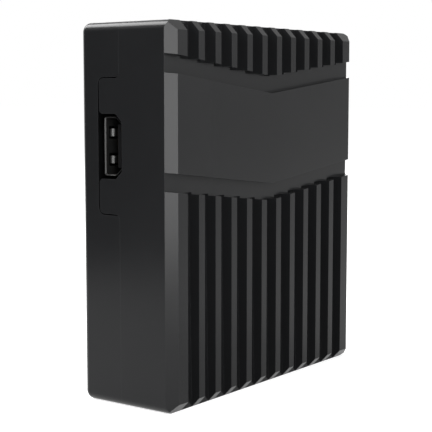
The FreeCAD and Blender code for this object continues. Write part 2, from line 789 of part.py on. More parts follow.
def make_ethernet_jack():
    x_span = ("ethernet_inner_end", "port_mouth")
    top = "board_back + ethernet_height"
    can = block("shield_outside", x_span, ("board_back", top), about("ethernet_z", "ethernet_width"))
    room = block("shield_inside", ("ethernet_inner_end + ethernet_sheet", f"port_mouth + {OVERRUN}"),
                 ("board_back + ethernet_sheet", f"{top} - ethernet_sheet"),
                 about("ethernet_z", "ethernet_width - 2 * ethernet_sheet"))
    subpart("ethernet_shield", cut("ethernet_shield", can, [room]))

    core = block("jack_core", ("ethernet_inner_end + ethernet_sheet", "port_mouth"),
                 ("board_back + ethernet_sheet", f"{top} - ethernet_sheet"),
                 about("ethernet_z", "ethernet_width - 2 * ethernet_sheet"))
    deep = ("plug_end", f"port_mouth + {OVERRUN}")
    hollows = [
        block("plug_hollow", deep, ("plug_low", "plug_high"), about("ethernet_z", "plug_width")),
        block("latch_hollow", deep, (f"plug_high - {OVERRUN}", "latch_top"),
              about("ethernet_z", "latch_width")),
    ]
    lights = []
    for place, z in enumerate(light_places(), start=1):
        hollows.append(light_block(f"light_pocket_{place}", z, OVERRUN))
        lights.append(light_block(f"link_light_{place}", z))
    subpart("ethernet_body", cut("ethernet_body", core, hollows))
    subpart("ethernet_lights", group("ethernet_lights", lights))

    outline = [
        ("plug_end", "plug_low"),
        ("plug_end + wire_length", "plug_low"),
        ("plug_end + wire_length", "plug_low + wire_thickness"),
        ("plug_end", "plug_low + wire_thickness + wire_length * tan(wire_tilt)"),
    ]
    wires = []
    for place in range(NETWORK_WIRES):
        z = f"ethernet_z + {place - (NETWORK_WIRES - 1) / 2} * wire_pitch"
        wires.append(prism(f"wire_{place + 1}", "XY", outline, about(z, "wire_width")))
    subpart("ethernet_contacts", group("ethernet_contacts", wires))


def make_power_socket():
    centre = ("power_centre", "power_z")
    floor = "port_mouth - power_bore_depth"
    core = block("socket_core", ("power_inner_end", "port_mouth"),
                 ("board_back", "board_back + power_height"), about("power_z", "power_width"))
    spring = (
        (floor, f"{floor} + power_spring_length"),
        ("power_centre + power_bore_radius - power_spring_thickness",
         "power_centre + power_bore_radius + power_spring_sink"),
        about("power_z", "power_spring_width"),
    )
    hollows = [
        rod("socket_bore", "x", (floor, f"port_mouth + {OVERRUN}"), centre, "power_bore_radius"),
        block("spring_slot", *spring),
    ]
    subpart("power_jack_body", cut("power_jack_body", core, hollows))
    subpart("power_jack_spring", block("power_jack_spring", *spring))
    pin = rod("pin_shank", "x", (floor, "power_pin_end"), centre, "power_pin_radius")
    nose = document.addObject("Part::Sphere", "pin_nose")
    bind(nose, "Radius", "power_pin_radius")
    put(nose, ("power_pin_end",) + centre)
    subpart("power_jack_pin", fused("power_jack_pin", [pin, nose]))


def make_reset_button():
    centre = ("reset_centre", "reset_z")
    back = "switch_face - switch_length"
    case = block("switch_case", (back, "switch_face"), ("board_back", "board_back + switch_height"),
                 about("reset_z", "switch_width"))
    bore = rod("switch_bore", "x", ("switch_face - plunger_bore", f"switch_face + {OVERRUN}"), centre,
               "plunger_radius + button_clearance")
    subpart("reset_switch", cut("reset_switch", case, [bore]))
    subpart("reset_plunger", rod("reset_plunger", "x", ("switch_face - plunger_reach", "flange_inner"),
                                 centre, "plunger_radius"))
    cap = rod("button_cap", "x", ("flange_inner", "half_width - button_recess"), centre, "button_radius")
    flange = rod("button_flange", "x", ("flange_inner", "flange_outer"), centre, "flange_radius")
    subpart("reset_button", fused("reset_button", [cap, flange]))


def make_status_lights():
    lamps, pipes = [], []
    for place, z in enumerate(light_heights(), start=1):
        lamps.append(block(f"lamp_{place}", ("pipe_inner_end - lamp_width", "pipe_inner_end"),
                           ("board_back", "board_back + lamp_height"), about(z, "2 * pipe_radius")))
        pipes.append(rod(f"pipe_{place}", "x", ("pipe_inner_end", "half_width - button_recess"),
                         ("pipe_centre", z), "pipe_radius"))
    subpart("status_leds", group("status_leds", lamps))
    subpart("status_light_pipes", group("status_light_pipes", pipes))


def make_heat_path():
    subpart("processor", on_front("processor", "0", "middle", "processor_width", "processor_width",
                                  "processor_thickness"))
    subpart("thermal_pad", block("thermal_pad", about("0", "processor_width"), ("pad_face", "processor_face"),
                                 about("middle", "processor_width")))
    plate = block("spreader_plate", about("0", "spreader_width"), ("front_inner", "spreader_face"),
                  about("middle", "spreader_height"))
    pedestal = block("spreader_pedestal", about("0", "pedestal_width"), ("spreader_face", "pad_face"),
                     about("middle", "pedestal_width"))
    subpart("heat_spreader", fused("heat_spreader", [plate, pedestal]))


def make_chips():
    memories = [on_front(f"memory_{place}", f"{sign} * memory_offset_x", "middle - memory_offset_z",
                         "memory_width", "memory_height", "memory_thickness")
                for place, sign in enumerate((-1, 1), start=1)]
    subpart("memory_chips", group("memory_chips", memories))
    subpart("flash_chip", on_front("flash_chip", "memory_offset_x + memory_width", "middle",
                                   "flash_width", "flash_height", "flash_thickness"))
    subpart("hdmi_chip", on_back("hdmi_chip", "hdmi_chip_near_side + hdmi_chip_width / 2", "hdmi_z",
                                 "hdmi_chip_width", "hdmi_chip_width", "hdmi_chip_thickness"))
    chokes = [on_back(f"choke_{place + 1}", "(hdmi_end + hdmi_chip_near_side) / 2",
                      f"hdmi_z + {place - (CHOKES - 1) / 2} * choke_pitch",
                      "choke_width", "choke_length", "choke_thickness") for place in range(CHOKES)]
    subpart("hdmi_chokes", group("hdmi_chokes", chokes))
    subpart("network_transformer", on_back("network_transformer", "transformer_x", "ethernet_z",
                                           "transformer_width", "transformer_height",
                                           "transformer_thickness"))
    subpart("network_chip", on_back("network_chip", "network_chip_x", "ethernet_z",
                                    "network_chip_width", "network_chip_width", "network_chip_thickness"))
    crystal_z = "ethernet_z - network_chip_width / 2 - board_part_gap - crystal_height / 2"
    subpart("crystal", on_back("crystal", "network_chip_x", crystal_z,
                               "crystal_width", "crystal_height", "crystal_thickness"))


def make_ceramics():
    ceramics = []
    for sign, word in ((-1, "low"), (1, "high")):
        z = f"middle + {sign} * (pedestal_width / 2 + board_part_gap)"
        for place in range(CERAMICS_IN_ROW):
            x = f"{place - (CERAMICS_IN_ROW - 1) / 2} * ceramic_pitch"
            ceramics.append(on_front(f"{word}_ceramic_{place + 1}", x, z,
                                     "ceramic_width", "ceramic_length", "ceramic_width"))
    subpart("ceramic_capacitors", group("ceramic_capacitors", ceramics))


def make_power_parts():
    y_span = ("board_back", "board_back + capacitor_height")
    can_x = "power_inner_end - board_part_gap - capacitor_radius"
    cans = [rod(f"can_{place + 1}", "y", y_span,
                (can_x, f"power_z + {place - (POWER_CANS - 1) / 2} * capacitor_pitch"), "capacitor_radius")
            for place in range(POWER_CANS)]
    subpart("power_capacitors", group("power_capacitors", cans))
    subpart("power_inductor", on_back("power_inductor", "power_inner_end - inductor_setback", "power_z",
                                      "inductor_width", "inductor_width", "inductor_thickness"))
    subpart("regulator_chip", on_back("regulator_chip", "power_inner_end - regulator_setback", "power_z",
                                      "regulator_width", "regulator_width", "regulator_thickness"))


def make_all():
    make_front_shell()
    make_rear_shell()
    make_main_board()
    make_hdmi_shell()
    make_hdmi_inside()
    make_ethernet_jack()
    make_power_socket()
    make_reset_button()
    make_status_lights()
    make_heat_path()
    make_chips()
    make_ceramics()
    make_power_parts()
    make_screws("case_screws", corner_places(), "head_seat", "case_screw_length", "case_screw_radius",
                "case_head_radius", "case_head_height")
    make_screws("board_screws", middle_places(), "board_back", "board_screw_length", "board_screw_radius",
                "board_head_radius", "board_head_height")
    make_rubber_feet()


def write_parts():
    document.recompute()
    for item in document.Objects:
        if "Invalid" in item.State or "Error" in item.State:
            raise RuntimeError(f"{item.Label} did not compute: {item.State}")
    for item in subparts:
        if item.Shape.isNull() or not item.Shape.isValid():
            raise RuntimeError(f"{item.Label} has no valid shape")
    os.makedirs("parts", exist_ok=True)
    for item in subparts:
        item.Shape.exportStep(f"parts/{item.Label}.step")
        box = item.Shape.BoundBox
        print(f"{item.Label}: {len(item.Shape.Solids)} solids, {item.Shape.Volume:.1f} mm3,"
              f" x {box.XMin:.2f}..{box.XMax:.2f}, y {box.YMin:.2f}..{box.YMax:.2f},"
              f" z {box.ZMin:.2f}..{box.ZMax:.2f}")


make_sheet("Sizes", SIZES)
layout = make_sheet("Layout", {word: "=" + bound(formula, in_layout=True)
                               for word, formula in LAYOUT.items()})
make_all()
write_parts()
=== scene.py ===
import json
import math

import bmesh
import bpy
from mathutils import Euler, Matrix, Vector


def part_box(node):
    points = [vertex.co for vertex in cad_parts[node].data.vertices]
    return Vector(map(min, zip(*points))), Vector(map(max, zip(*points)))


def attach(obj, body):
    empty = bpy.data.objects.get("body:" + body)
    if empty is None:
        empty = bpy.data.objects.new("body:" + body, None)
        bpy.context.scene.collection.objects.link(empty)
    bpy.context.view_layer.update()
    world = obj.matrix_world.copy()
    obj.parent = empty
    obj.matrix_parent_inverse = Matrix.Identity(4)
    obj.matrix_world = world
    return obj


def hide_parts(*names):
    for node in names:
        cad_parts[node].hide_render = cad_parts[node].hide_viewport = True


# Converter box with a finned front, standing on its base.
# Metres, +Z up, fins to -Y, picture port to -X.

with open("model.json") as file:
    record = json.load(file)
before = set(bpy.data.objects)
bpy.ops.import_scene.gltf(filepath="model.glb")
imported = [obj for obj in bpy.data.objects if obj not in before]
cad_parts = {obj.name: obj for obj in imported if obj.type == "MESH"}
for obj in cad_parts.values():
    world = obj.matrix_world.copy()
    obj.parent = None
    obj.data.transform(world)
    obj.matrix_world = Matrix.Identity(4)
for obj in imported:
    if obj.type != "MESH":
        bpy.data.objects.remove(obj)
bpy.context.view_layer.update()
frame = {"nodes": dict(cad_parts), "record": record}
nodes = frame["nodes"]

MM = 0.001
MERGE = 1e-6                # closer corners than this are one corner
FLAT = math.radians(0.5)    # faces that meet at less than this are one face
SHARP = math.radians(28)    # edges that turn more than this are rounded
SMOOTH = math.radians(35)   # edges that turn less than this are shaded smooth
PARALLEL = 0.999            # share of its length that an edge along an axis runs along it


# Shader groups

def new_group(name, inputs, outputs):
    group = bpy.data.node_groups.new(name, "ShaderNodeTree")
    for label, kind, value in inputs:
        socket = group.interface.new_socket(label, in_out="INPUT", socket_type=kind)
        socket.default_value = value
    for label, kind in outputs:
        group.interface.new_socket(label, in_out="OUTPUT", socket_type=kind)
    return group, group.nodes.new("NodeGroupInput"), group.nodes.new("NodeGroupOutput")


def add(tree, kind, values=(), **settings):
    """A node with its settings and its unlinked inputs filled in."""
    node = tree.nodes.new(kind)
    for key, value in settings.items():
        setattr(node, key, value)
    for key, value in dict(values).items():
        node.inputs[key].default_value = value
    return node


def link(tree, output, target):
    tree.links.new(output, target)


def blend_factor(tree, low, high, factor):
    """A number that goes from low to high as the factor goes from 0 to 1."""
    ramp = add(tree, "ShaderNodeMapRange", {"To Min": low, "To Max": high})
    link(tree, factor, ramp.inputs["Value"])
    return ramp.outputs["Result"]


def grain_group():
    """Fine spark-eroded mould texture, with a slow drift of tone over the whole piece."""
    group, enter, leave = new_group(
        "mould_grain",
        [("Size", "NodeSocketFloat", 2500.0), ("Drift", "NodeSocketFloat", 45.0)],
        [("Height", "NodeSocketFloat"), ("Tone", "NodeSocketFloat")],
    )
    place = add(group, "ShaderNodeTexCoord")
    pits = add(group, "ShaderNodeTexNoise", {"Detail": 3.0, "Roughness": 0.6})
    lumps = add(group, "ShaderNodeTexVoronoi")
    cloud = add(group, "ShaderNodeTexNoise", {"Detail": 4.0, "Roughness": 0.55})
    for texture, scale in ((pits, "Size"), (lumps, "Size"), (cloud, "Drift")):
        link(group, place.outputs["Object"], texture.inputs["Vector"])
        link(group, enter.outputs[scale], texture.inputs["Scale"])
    lump_share = 0.5
    mixed = add(group, "ShaderNodeMath", {1: lump_share}, operation="MULTIPLY_ADD")
    link(group, lumps.outputs["Distance"], mixed.inputs[0])
    link(group, pits.outputs["Fac"], mixed.inputs[2])
    link(group, mixed.outputs[0], leave.inputs["Height"])
    link(group, cloud.outputs["Fac"], leave.inputs["Tone"])
    return group


def edge_group():
    """Finds edges, for the rub marks that handling leaves there."""
    group, enter, leave = new_group(
        "rubbed_edges",
        [("Reach", "NodeSocketFloat", 0.0003), ("Patches", "NodeSocketFloat", 300.0)],
        [("Mask", "NodeSocketFloat")],
    )
    place = add(group, "ShaderNodeTexCoord")
    eased = add(group, "ShaderNodeBevel", samples=6)
    link(group, enter.outputs["Reach"], eased.inputs["Radius"])
    plain = add(group, "ShaderNodeNewGeometry")
    turn = add(group, "ShaderNodeVectorMath", operation="DOT_PRODUCT")
    link(group, eased.outputs["Normal"], turn.inputs[0])
    link(group, plain.outputs["Normal"], turn.inputs[1])
    amount = add(group, "ShaderNodeMapRange", {"From Min": 1.0, "From Max": 0.82})
    link(group, turn.outputs["Value"], amount.inputs["Value"])
    patches = add(group, "ShaderNodeTexNoise", {"Detail": 3.0})
    link(group, place.outputs["Object"], patches.inputs["Vector"])
    link(group, enter.outputs["Patches"], patches.inputs["Scale"])
    worn = add(group, "ShaderNodeMath", operation="MULTIPLY")
    link(group, amount.outputs["Result"], worn.inputs[0])
    link(group, patches.outputs["Fac"], worn.inputs[1])
    link(group, worn.outputs[0], leave.inputs["Mask"])
    return group


def streak_group():
    """Long fine scratches along one axis, as on rolled sheet or a drawn can."""
    group, enter, leave = new_group(
        "drawn_streaks",
        [("Stretch", "NodeSocketVector", (40.0, 3000.0, 3000.0))],
        [("Height", "NodeSocketFloat"), ("Tone", "NodeSocketFloat")],
    )
    place = add(group, "ShaderNodeTexCoord")
    stretched = add(group, "ShaderNodeVectorMath", operation="MULTIPLY")
    link(group, place.outputs["Object"], stretched.inputs[0])
    link(group, enter.outputs["Stretch"], stretched.inputs[1])
    lines = add(group, "ShaderNodeTexNoise", {"Scale": 1.0, "Detail": 4.0, "Roughness": 0.65})
    smears = add(group, "ShaderNodeTexNoise", {"Scale": 140.0, "Detail": 2.0})
    link(group, stretched.outputs["Vector"], lines.inputs["Vector"])
    link(group, place.outputs["Object"], smears.inputs["Vector"])
    link(group, lines.outputs["Fac"], leave.inputs["Height"])
    link(group, smears.outputs["Fac"], leave.inputs["Tone"])
    return group


GRAIN = grain_group()
EDGES = edge_group()
STREAKS = streak_group()


# Materials

# How far each kind of relief rises, in metres.
GRAIN_DEPTH = 0.00004
STREAK_DEPTH = 0.00002
CLEAR_DEPTH = TRACK_DEPTH = 0.00003


def cleared(owner):
    """The emptied node tree of a material or the world."""
    owner.use_nodes = True
    owner.node_tree.nodes.clear()
    return owner.node_tree


def show(tree, shader, kind="ShaderNodeOutputMaterial"):
    """Sends a shader's output to the surface."""
    link(tree, shader, add(tree, kind).inputs["Surface"])


def blank_material(name):
    material = bpy.data.materials.new(name)
    tree = cleared(material)
    shader = add(tree, "ShaderNodeBsdfPrincipled")
    show(tree, shader.outputs["BSDF"])
    return material, tree, shader


def place_group(tree, group, **values):
    return add(tree, "ShaderNodeGroup", values, node_tree=group)


def tinted(tree, dark, light, factor):
    """A colour that goes from dark to light as the factor goes from 0 to 1."""
    mix = add(tree, "ShaderNodeMix", {"A": (*dark, 1.0), "B": (*light, 1.0)}, data_type="RGBA")
    link(tree, factor, mix.inputs["Factor"])
    return mix.outputs["Result"]


def roughen(tree, shader, limits, factor):
    link(tree, blend_factor(tree, *limits, factor), shader.inputs["Roughness"])


def raise_surface(tree, shader, height, strength, distance):
    bump = add(tree, "ShaderNodeBump", {"Strength": strength, "Distance": distance})
    link(tree, height, bump.inputs["Height"])
    link(tree, bump.outputs["Normal"], shader.inputs["Normal"])


def moulded(name, dark, light, roughness, specular, size, relief, rub=None):
    """Plastic, resin or rubber with a mould texture; rub is the colour that worn edges take."""
    material, tree, shader = blank_material(name)
    grain = place_group(tree, GRAIN, Size=size)
    colour = tinted(tree, dark, light, grain.outputs["Tone"])
    if rub:
        edges = place_group(tree, EDGES)
        mix = add(tree, "ShaderNodeMix", {"B": (*rub, 1.0)}, data_type="RGBA")
        link(tree, edges.outputs["Mask"], mix.inputs["Factor"])
        link(tree, colour, mix.inputs["A"])
        colour = mix.outputs["Result"]
    link(tree, colour, shader.inputs["Base Color"])
    roughen(tree, shader, roughness, grain.outputs["Tone"])
    shader.inputs["Specular IOR Level"].default_value = specular
    raise_surface(tree, shader, grain.outputs["Height"], relief, GRAIN_DEPTH)
    return material


def metal(name, dark, light, roughness, stretch, relief=0.15, metallic=1.0, specular=0.5):
    """Sheet, wire or a can with streaks; stretch is how fine they are along each axis."""
    material, tree, shader = blank_material(name)
    streaks = place_group(tree, STREAKS, Stretch=stretch)
    link(tree, tinted(tree, dark, light, streaks.outputs["Tone"]), shader.inputs["Base Color"])
    roughen(tree, shader, roughness, streaks.outputs["Height"])
    shader.inputs["Metallic"].default_value = metallic
    shader.inputs["Specular IOR Level"].default_value = specular
    raise_surface(tree, shader, streaks.outputs["Height"], relief, STREAK_DEPTH)
    return material


def clear_moulding(name, colour, transmission, roughness):
    """Clear or milky plastic with a slight cloudiness."""
    material, tree, shader = blank_material(name)
    grain = place_group(tree, GRAIN, Size=900.0, Drift=250.0)
    lighter = [min(1.0, part * 1.06) for part in colour]
    link(tree, tinted(tree, colour, lighter, grain.outputs["Tone"]), shader.inputs["Base Color"])
    roughen(tree, shader, roughness, grain.outputs["Tone"])
    shader.inputs["Transmission Weight"].default_value = transmission
    shader.inputs["IOR"].default_value = 1.49
    raise_surface(tree, shader, grain.outputs["Height"], 0.1, CLEAR_DEPTH)
    return material


def board_mask():
    """Green solder mask over copper tracks, which run in fields over part of the board."""
    material, tree, shader = blank_material("board_mask")
    place = add(tree, "ShaderNodeTexCoord")
    tracks = add(tree, "ShaderNodeTexBrick", {"Scale": 260.0, "Mortar Size": 0.12,
                                              "Brick Width": 1.7, "Row Height": 0.35})
    flat = add(tree, "ShaderNodeMapping", {"Rotation": (math.radians(90), 0, 0)})
    link(tree, place.outputs["Object"], flat.inputs["Vector"])
    link(tree, flat.outputs["Vector"], tracks.inputs["Vector"])
    fields = add(tree, "ShaderNodeTexNoise", {"Scale": 90.0, "Detail": 1.0})
    link(tree, place.outputs["Object"], fields.inputs["Vector"])
    field_limit = 0.52
    routed = add(tree, "ShaderNodeMath", {1: field_limit}, operation="GREATER_THAN")
    link(tree, fields.outputs["Fac"], routed.inputs[0])
    shown = add(tree, "ShaderNodeMath", operation="MULTIPLY")
    link(tree, routed.outputs[0], shown.inputs[0])
    link(tree, tracks.outputs["Fac"], shown.inputs[1])
    colour = tinted(tree, (0.008, 0.060, 0.030), (0.030, 0.150, 0.070), shown.outputs[0])
    link(tree, colour, shader.inputs["Base Color"])
    roughen(tree, shader, (0.24, 0.34), fields.outputs["Fac"])
    raise_surface(tree, shader, shown.outputs[0], 0.35, TRACK_DEPTH)
    return material


finishes = {
    "case": moulded(
        "satin_black_case", (0.0062, 0.0064, 0.0068), (0.0086, 0.0088, 0.0093), (0.20, 0.27),
        specular=0.12, size=2600.0, relief=0.14, rub=(0.022, 0.022, 0.023)),
    "black_nickel": metal(
        "black_nickel", (0.021, 0.021, 0.0208), (0.031, 0.031, 0.0306), (0.26, 0.34),
        stretch=(150.0, 2600.0, 2600.0), relief=0.04, metallic=0.8, specular=0.15),
    "receptacle_steel": metal(
        "tinned_sheet", (0.36, 0.36, 0.35), (0.48, 0.48, 0.47), (0.22, 0.38),
        stretch=(150.0, 2600.0, 2600.0)),
    "black_insulator": moulded(
        "black_insulator", (0.0050, 0.0050, 0.0054), (0.0085, 0.0085, 0.0090), (0.40, 0.52),
        specular=0.06, size=3500.0, relief=0.15),
    "gold_contact": metal(
        "gold_flash", (0.74, 0.50, 0.20), (0.92, 0.70, 0.36), (0.16, 0.30),
        stretch=(120.0, 4200.0, 4200.0)),
    "board": board_mask(),
    "light_window": clear_moulding(
        "milky_light_window", (0.80, 0.78, 0.62), transmission=0.35, roughness=(0.30, 0.45)),
    "light_pipe": clear_moulding(
        "clear_light_pipe", (0.86, 0.88, 0.90), transmission=0.85, roughness=(0.08, 0.20)),
    "plated_pin": metal(
        "plated_pin", (0.60, 0.60, 0.58), (0.78, 0.78, 0.76), (0.12, 0.24),
        stretch=(3000.0, 160.0, 160.0)),
    "button_plastic": moulded(
        "satin_button", (0.040, 0.040, 0.042), (0.058, 0.058, 0.060), (0.36, 0.48),
        specular=0.4, size=3000.0, relief=0.15),
    "chip_resin": moulded(
        "chip_resin", (0.010, 0.010, 0.011), (0.022, 0.022, 0.023), (0.45, 0.62),
        specular=0.4, size=4200.0, relief=0.35),
    "thermal_pad": moulded(
        "thermal_pad", (0.30, 0.36, 0.45), (0.42, 0.48, 0.56), (0.70, 0.85),
        specular=0.3, size=1500.0, relief=0.5),
    "spreader_aluminium": metal(
        "milled_aluminium", (0.58, 0.59, 0.61), (0.76, 0.77, 0.79), (0.26, 0.40),
        stretch=(60.0, 900.0, 2400.0), relief=0.3),
    "ceramic": moulded(
        "fired_ceramic", (0.34, 0.22, 0.12), (0.50, 0.35, 0.21), (0.40, 0.60),
        specular=0.5, size=4000.0, relief=0.3),
    "crystal_can": metal(
        "drawn_steel_can", (0.56, 0.55, 0.53), (0.74, 0.73, 0.71), (0.18, 0.32),
        stretch=(2400.0, 2400.0, 120.0)),
    "capacitor_can": metal(
        "drawn_aluminium_can", (0.56, 0.57, 0.59), (0.74, 0.75, 0.77), (0.20, 0.34),
        stretch=(2600.0, 150.0, 2600.0)),
    "inductor_ferrite": moulded(
        "pressed_ferrite", (0.050, 0.050, 0.052), (0.110, 0.110, 0.112), (0.60, 0.80),
        specular=0.35, size=1800.0, relief=0.6),
    "screw_steel": metal(
        "blackened_zinc", (0.10, 0.10, 0.105), (0.20, 0.20, 0.205), (0.30, 0.48),
        stretch=(1800.0, 300.0, 1800.0)),
    "foot_rubber": moulded(
        "foot_rubber", (0.014, 0.014, 0.014), (0.030, 0.030, 0.030), (0.72, 0.88),
        specular=0.25, size=1400.0, relief=0.5),
}
slot_of = {row["node"]: row["material_slot"] for row in frame["record"]["subparts"]}


def dress(piece, slot):
    piece.data.materials.clear()
    piece.data.materials.append(finishes[slot])


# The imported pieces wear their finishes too, for those that nothing below stands for.
for node_name, node_object in nodes.items():
    dress(node_object, slot_of[node_name])


# Shaping tools

def mm(*values):
    """A place, or a way to move, given in mm."""
    return Vector(values) * MM


def inside(place, box):
    """True for a place between the low and the high corner of a box."""
    low, high = box
    return all(low[axis] < place[axis] < high[axis] for axis in range(3))


def merged_copy(node_name):
    """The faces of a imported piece, with its flat faces whole again."""
    work = bmesh.new()
    work.from_mesh(nodes[node_name].data)
    bmesh.ops.remove_doubles(work, verts=work.verts, dist=MERGE)
    bmesh.ops.dissolve_limit(work, angle_limit=FLAT, use_dissolve_boundaries=False,
                             verts=work.verts, edges=work.edges, delimit=set())
    return work


def runs(edge, axis):
    """True for an edge that lies along the axis 0, 1 or 2."""
    start, end = (vertex.co for vertex in edge.verts)
    return abs((end - start).normalized()[axis]) > PARALLEL


def beyond(edge, axis, limit):
    """True where both ends of the edge are past a limit along an axis."""
    return all(vertex.co[axis] > limit for vertex in edge.verts)


def round_off(work, edges, width, steps=2):
    bmesh.ops.bevel(work, geom=list(edges), offset=width, offset_type="OFFSET", segments=steps,
                    profile=0.5, affect="EDGES", clamp_overlap=True, material=-1)


def ease(work, width, steps=2, chosen=lambda edge: True):
    """Rounds the sharp edges that the test picks."""
    sharp = [edge for edge in work.edges
             if len(edge.link_faces) == 2 and edge.calc_face_angle(0) > SHARP and chosen(edge)]
    round_off(work, sharp, width, steps)


def shift(work, box, way):
    """Moves the corners of a piece that lie inside a box."""
    picked = [vertex for vertex in work.verts if inside(vertex.co, box)]
    bmesh.ops.translate(work, vec=way, verts=picked)


def cut_across(work, x):
    """Splits the faces that cross a place along X."""
    bmesh.ops.bisect_plane(work, geom=[*work.verts, *work.edges, *work.faces], dist=MERGE / 10,
                           plane_co=(x, 0.0, 0.0), plane_no=(1.0, 0.0, 0.0))


def block(work, low, high, width=0.0):
    """A box between two corners with its edges rounded by width."""
    low, high = Vector(low), Vector(high)
    made = bmesh.ops.create_cube(work, size=1.0)["verts"]
    bmesh.ops.scale(work, vec=high - low, verts=made)
    bmesh.ops.translate(work, vec=(high + low) / 2, verts=made)
    if width:
        round_off(work, {edge for vertex in made for edge in vertex.link_edges}, width)


def extruded(work, outline, reach):
    """A flat outline pushed along a vector into a solid."""
    face = work.faces.new([work.verts.new(corner) for corner in outline])
    pushed = bmesh.ops.extrude_face_region(work, geom=[face])["geom"]
    moved = [part for part in pushed if isinstance(part, bmesh.types.BMVert)]
    bmesh.ops.translate(work, vec=reach, verts=moved)


LIE_ALONG = {0: Matrix.Rotation(math.radians(90), 3, "Y"),
             1: Matrix.Rotation(math.radians(-90), 3, "X")}


def turned(work, profile, axis, place, steps=32):
    """Spins (radius, distance along the axis) points, in mm, round an axis through a place."""
    others = set(work.verts)
    line = [work.verts.new((radius * MM, 0.0, height * MM)) for radius, height in profile]
    edges = [work.edges.new(pair) for pair in zip(line, line[1:])]
    bmesh.ops.spin(work, geom=line + edges, cent=(0, 0, 0), axis=(0, 0, 1), angle=2 * math.pi,
                   steps=steps, use_merge=True)
    bmesh.ops.remove_doubles(work, dist=MERGE,
                             verts=[vertex for vertex in work.verts if vertex not in others])
    made = [vertex for vertex in work.verts if vertex not in others]
    bmesh.ops.rotate(work, cent=(0, 0, 0), matrix=LIE_ALONG[axis], verts=made)
    bmesh.ops.translate(work, vec=place, verts=made)


def facing_out(work):
    bmesh.ops.recalc_face_normals(work, faces=work.faces)
    return work


def island_boxes(node_name):
    """The low and high corners of each separate body in a node."""
    work = merged_copy(node_name)
    left, boxes = set(work.verts), []
    while left:
        reached = [left.pop()]
        for vertex in reached:
            for edge in vertex.link_edges:
                neighbour = edge.other_vert(vertex)
                if neighbour in left:
                    left.discard(neighbour)
                    reached.append(neighbour)
        spans = [[vertex.co[axis] for vertex in reached] for axis in range(3)]
        boxes.append((Vector(map(min, spans)), Vector(map(max, spans))))
    work.free()
    return sorted(boxes, key=lambda pair: tuple(round(value, 6) for value in pair[0]))


# Pieces

def placed(name, data):
    """A new object in the scene."""
    made = bpy.data.objects.new(name, data)
    bpy.context.scene.collection.objects.link(made)
    return made


def mesh_of(name, work):
    mesh = bpy.data.meshes.new(name)
    work.to_mesh(mesh)
    work.free()
    return mesh


def finished(name, work, slot, body="root", stands_for=()):
    """Turns a bmesh into a piece that rides on a body."""
    for face in work.faces:
        face.smooth = True
    for edge in work.edges:
        edge.smooth = len(edge.link_faces) == 2 and edge.calc_face_angle(0) < SMOOTH
    piece = placed(name, mesh_of(name, work))
    weighted = piece.modifiers.new("even_shading", "WEIGHTED_NORMAL")
    weighted.keep_sharp = True
    dress(piece, slot)
    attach(piece, body)
    if stands_for:
        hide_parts(*stands_for)


def softened(node_name, name, width, body="root", **easing):
    """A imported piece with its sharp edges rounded."""
    work = merged_copy(node_name)
    ease(work, width, **easing)
    finished(name, work, slot_of[node_name], body, [node_name])


# Case

LIP_FRONT, LIP_REAR = 0.5 * MM, 0.2 * MM    # how far the picture port's mouth leans out
CASE_EASE = 0.12 * MM
BASE_LEAN, NOTCH_UNDERCUT = mm(0.0, -1.0, 0.0), mm(0.0, 1.7, 0.0)

# Low and high corners.
HOLLOW = Vector((-0.0412, -0.0118, 0.0021)), Vector((0.0412, 0.0124, 0.0959))
GROOVE_FEET = mm(-44.0, -12.15, -1.0), mm(44.0, -12.05, 0.001)
OPENING_FRONT = mm(-44.0, 1.2, 58.4), mm(-41.4, 3.3, 75.0)
NOTCH_INSIDE = mm(-41.55, 8.5, 45.0), mm(-41.45, 8.6, 88.0)
LIGHT_RIB = mm(-30.2, 1.2, 44.0), mm(-29.0, 12.7, 90.0)


def outside(edge):
    """True for the edges that can be seen from outside the case."""
    middle = sum((vertex.co for vertex in edge.verts), Vector()) / 2
    return not inside(middle, HOLLOW)


def finned_front():
    """Grooves whose floors lean out to a straight base line, and a port opening to suit the lip."""
    work = merged_copy("front_shell")
    shift(work, GROOVE_FEET, BASE_LEAN)
    shift(work, OPENING_FRONT, (0.0, -LIP_FRONT, 0.0))
    bmesh.ops.remove_doubles(work, verts=work.verts, dist=MERGE)
    ease(work, CASE_EASE, chosen=outside)
    finished("finned_front", work, "case", stands_for=["front_shell"])


def rear_cover():
    """Keeps light from the gaps round the picture port, by an undercut notch and an upright rib."""
    work = merged_copy("rear_shell")
    shift(work, NOTCH_INSIDE, NOTCH_UNDERCUT)
    ease(work, CASE_EASE, chosen=outside)
    block(work, *LIGHT_RIB)
    finished("rear_cover", work, "case", stands_for=["rear_shell"])


finned_front()
rear_cover()


# Picture port

PORT_MIDDLE_Y = 4.25 * MM
BORE_HALF_Y, BORE_HALF_Z = 2.45 * MM, 7.15 * MM
LIP_LENGTH, FLARE = 2.4 * MM, 0.26 * MM
FOLD_OUTSIDE, FOLD_INSIDE, SPRING_BEND = 0.6 * MM, 0.3 * MM, 0.35 * MM
FOLD_STEPS = 4
SHORTEST_FOLD, LONGEST_BEND = 10 * MM, 2.2 * MM
SLIGHTEST_BEND, STEEPEST_BEND = 0.3, 1.3    # radians
CREST_SHIFT, TIP_SHIFT = mm(-0.1, 0.0, 0.0), mm(0.0, 0.35, 0.0)
TONGUE_ROOT = -35.2 * MM


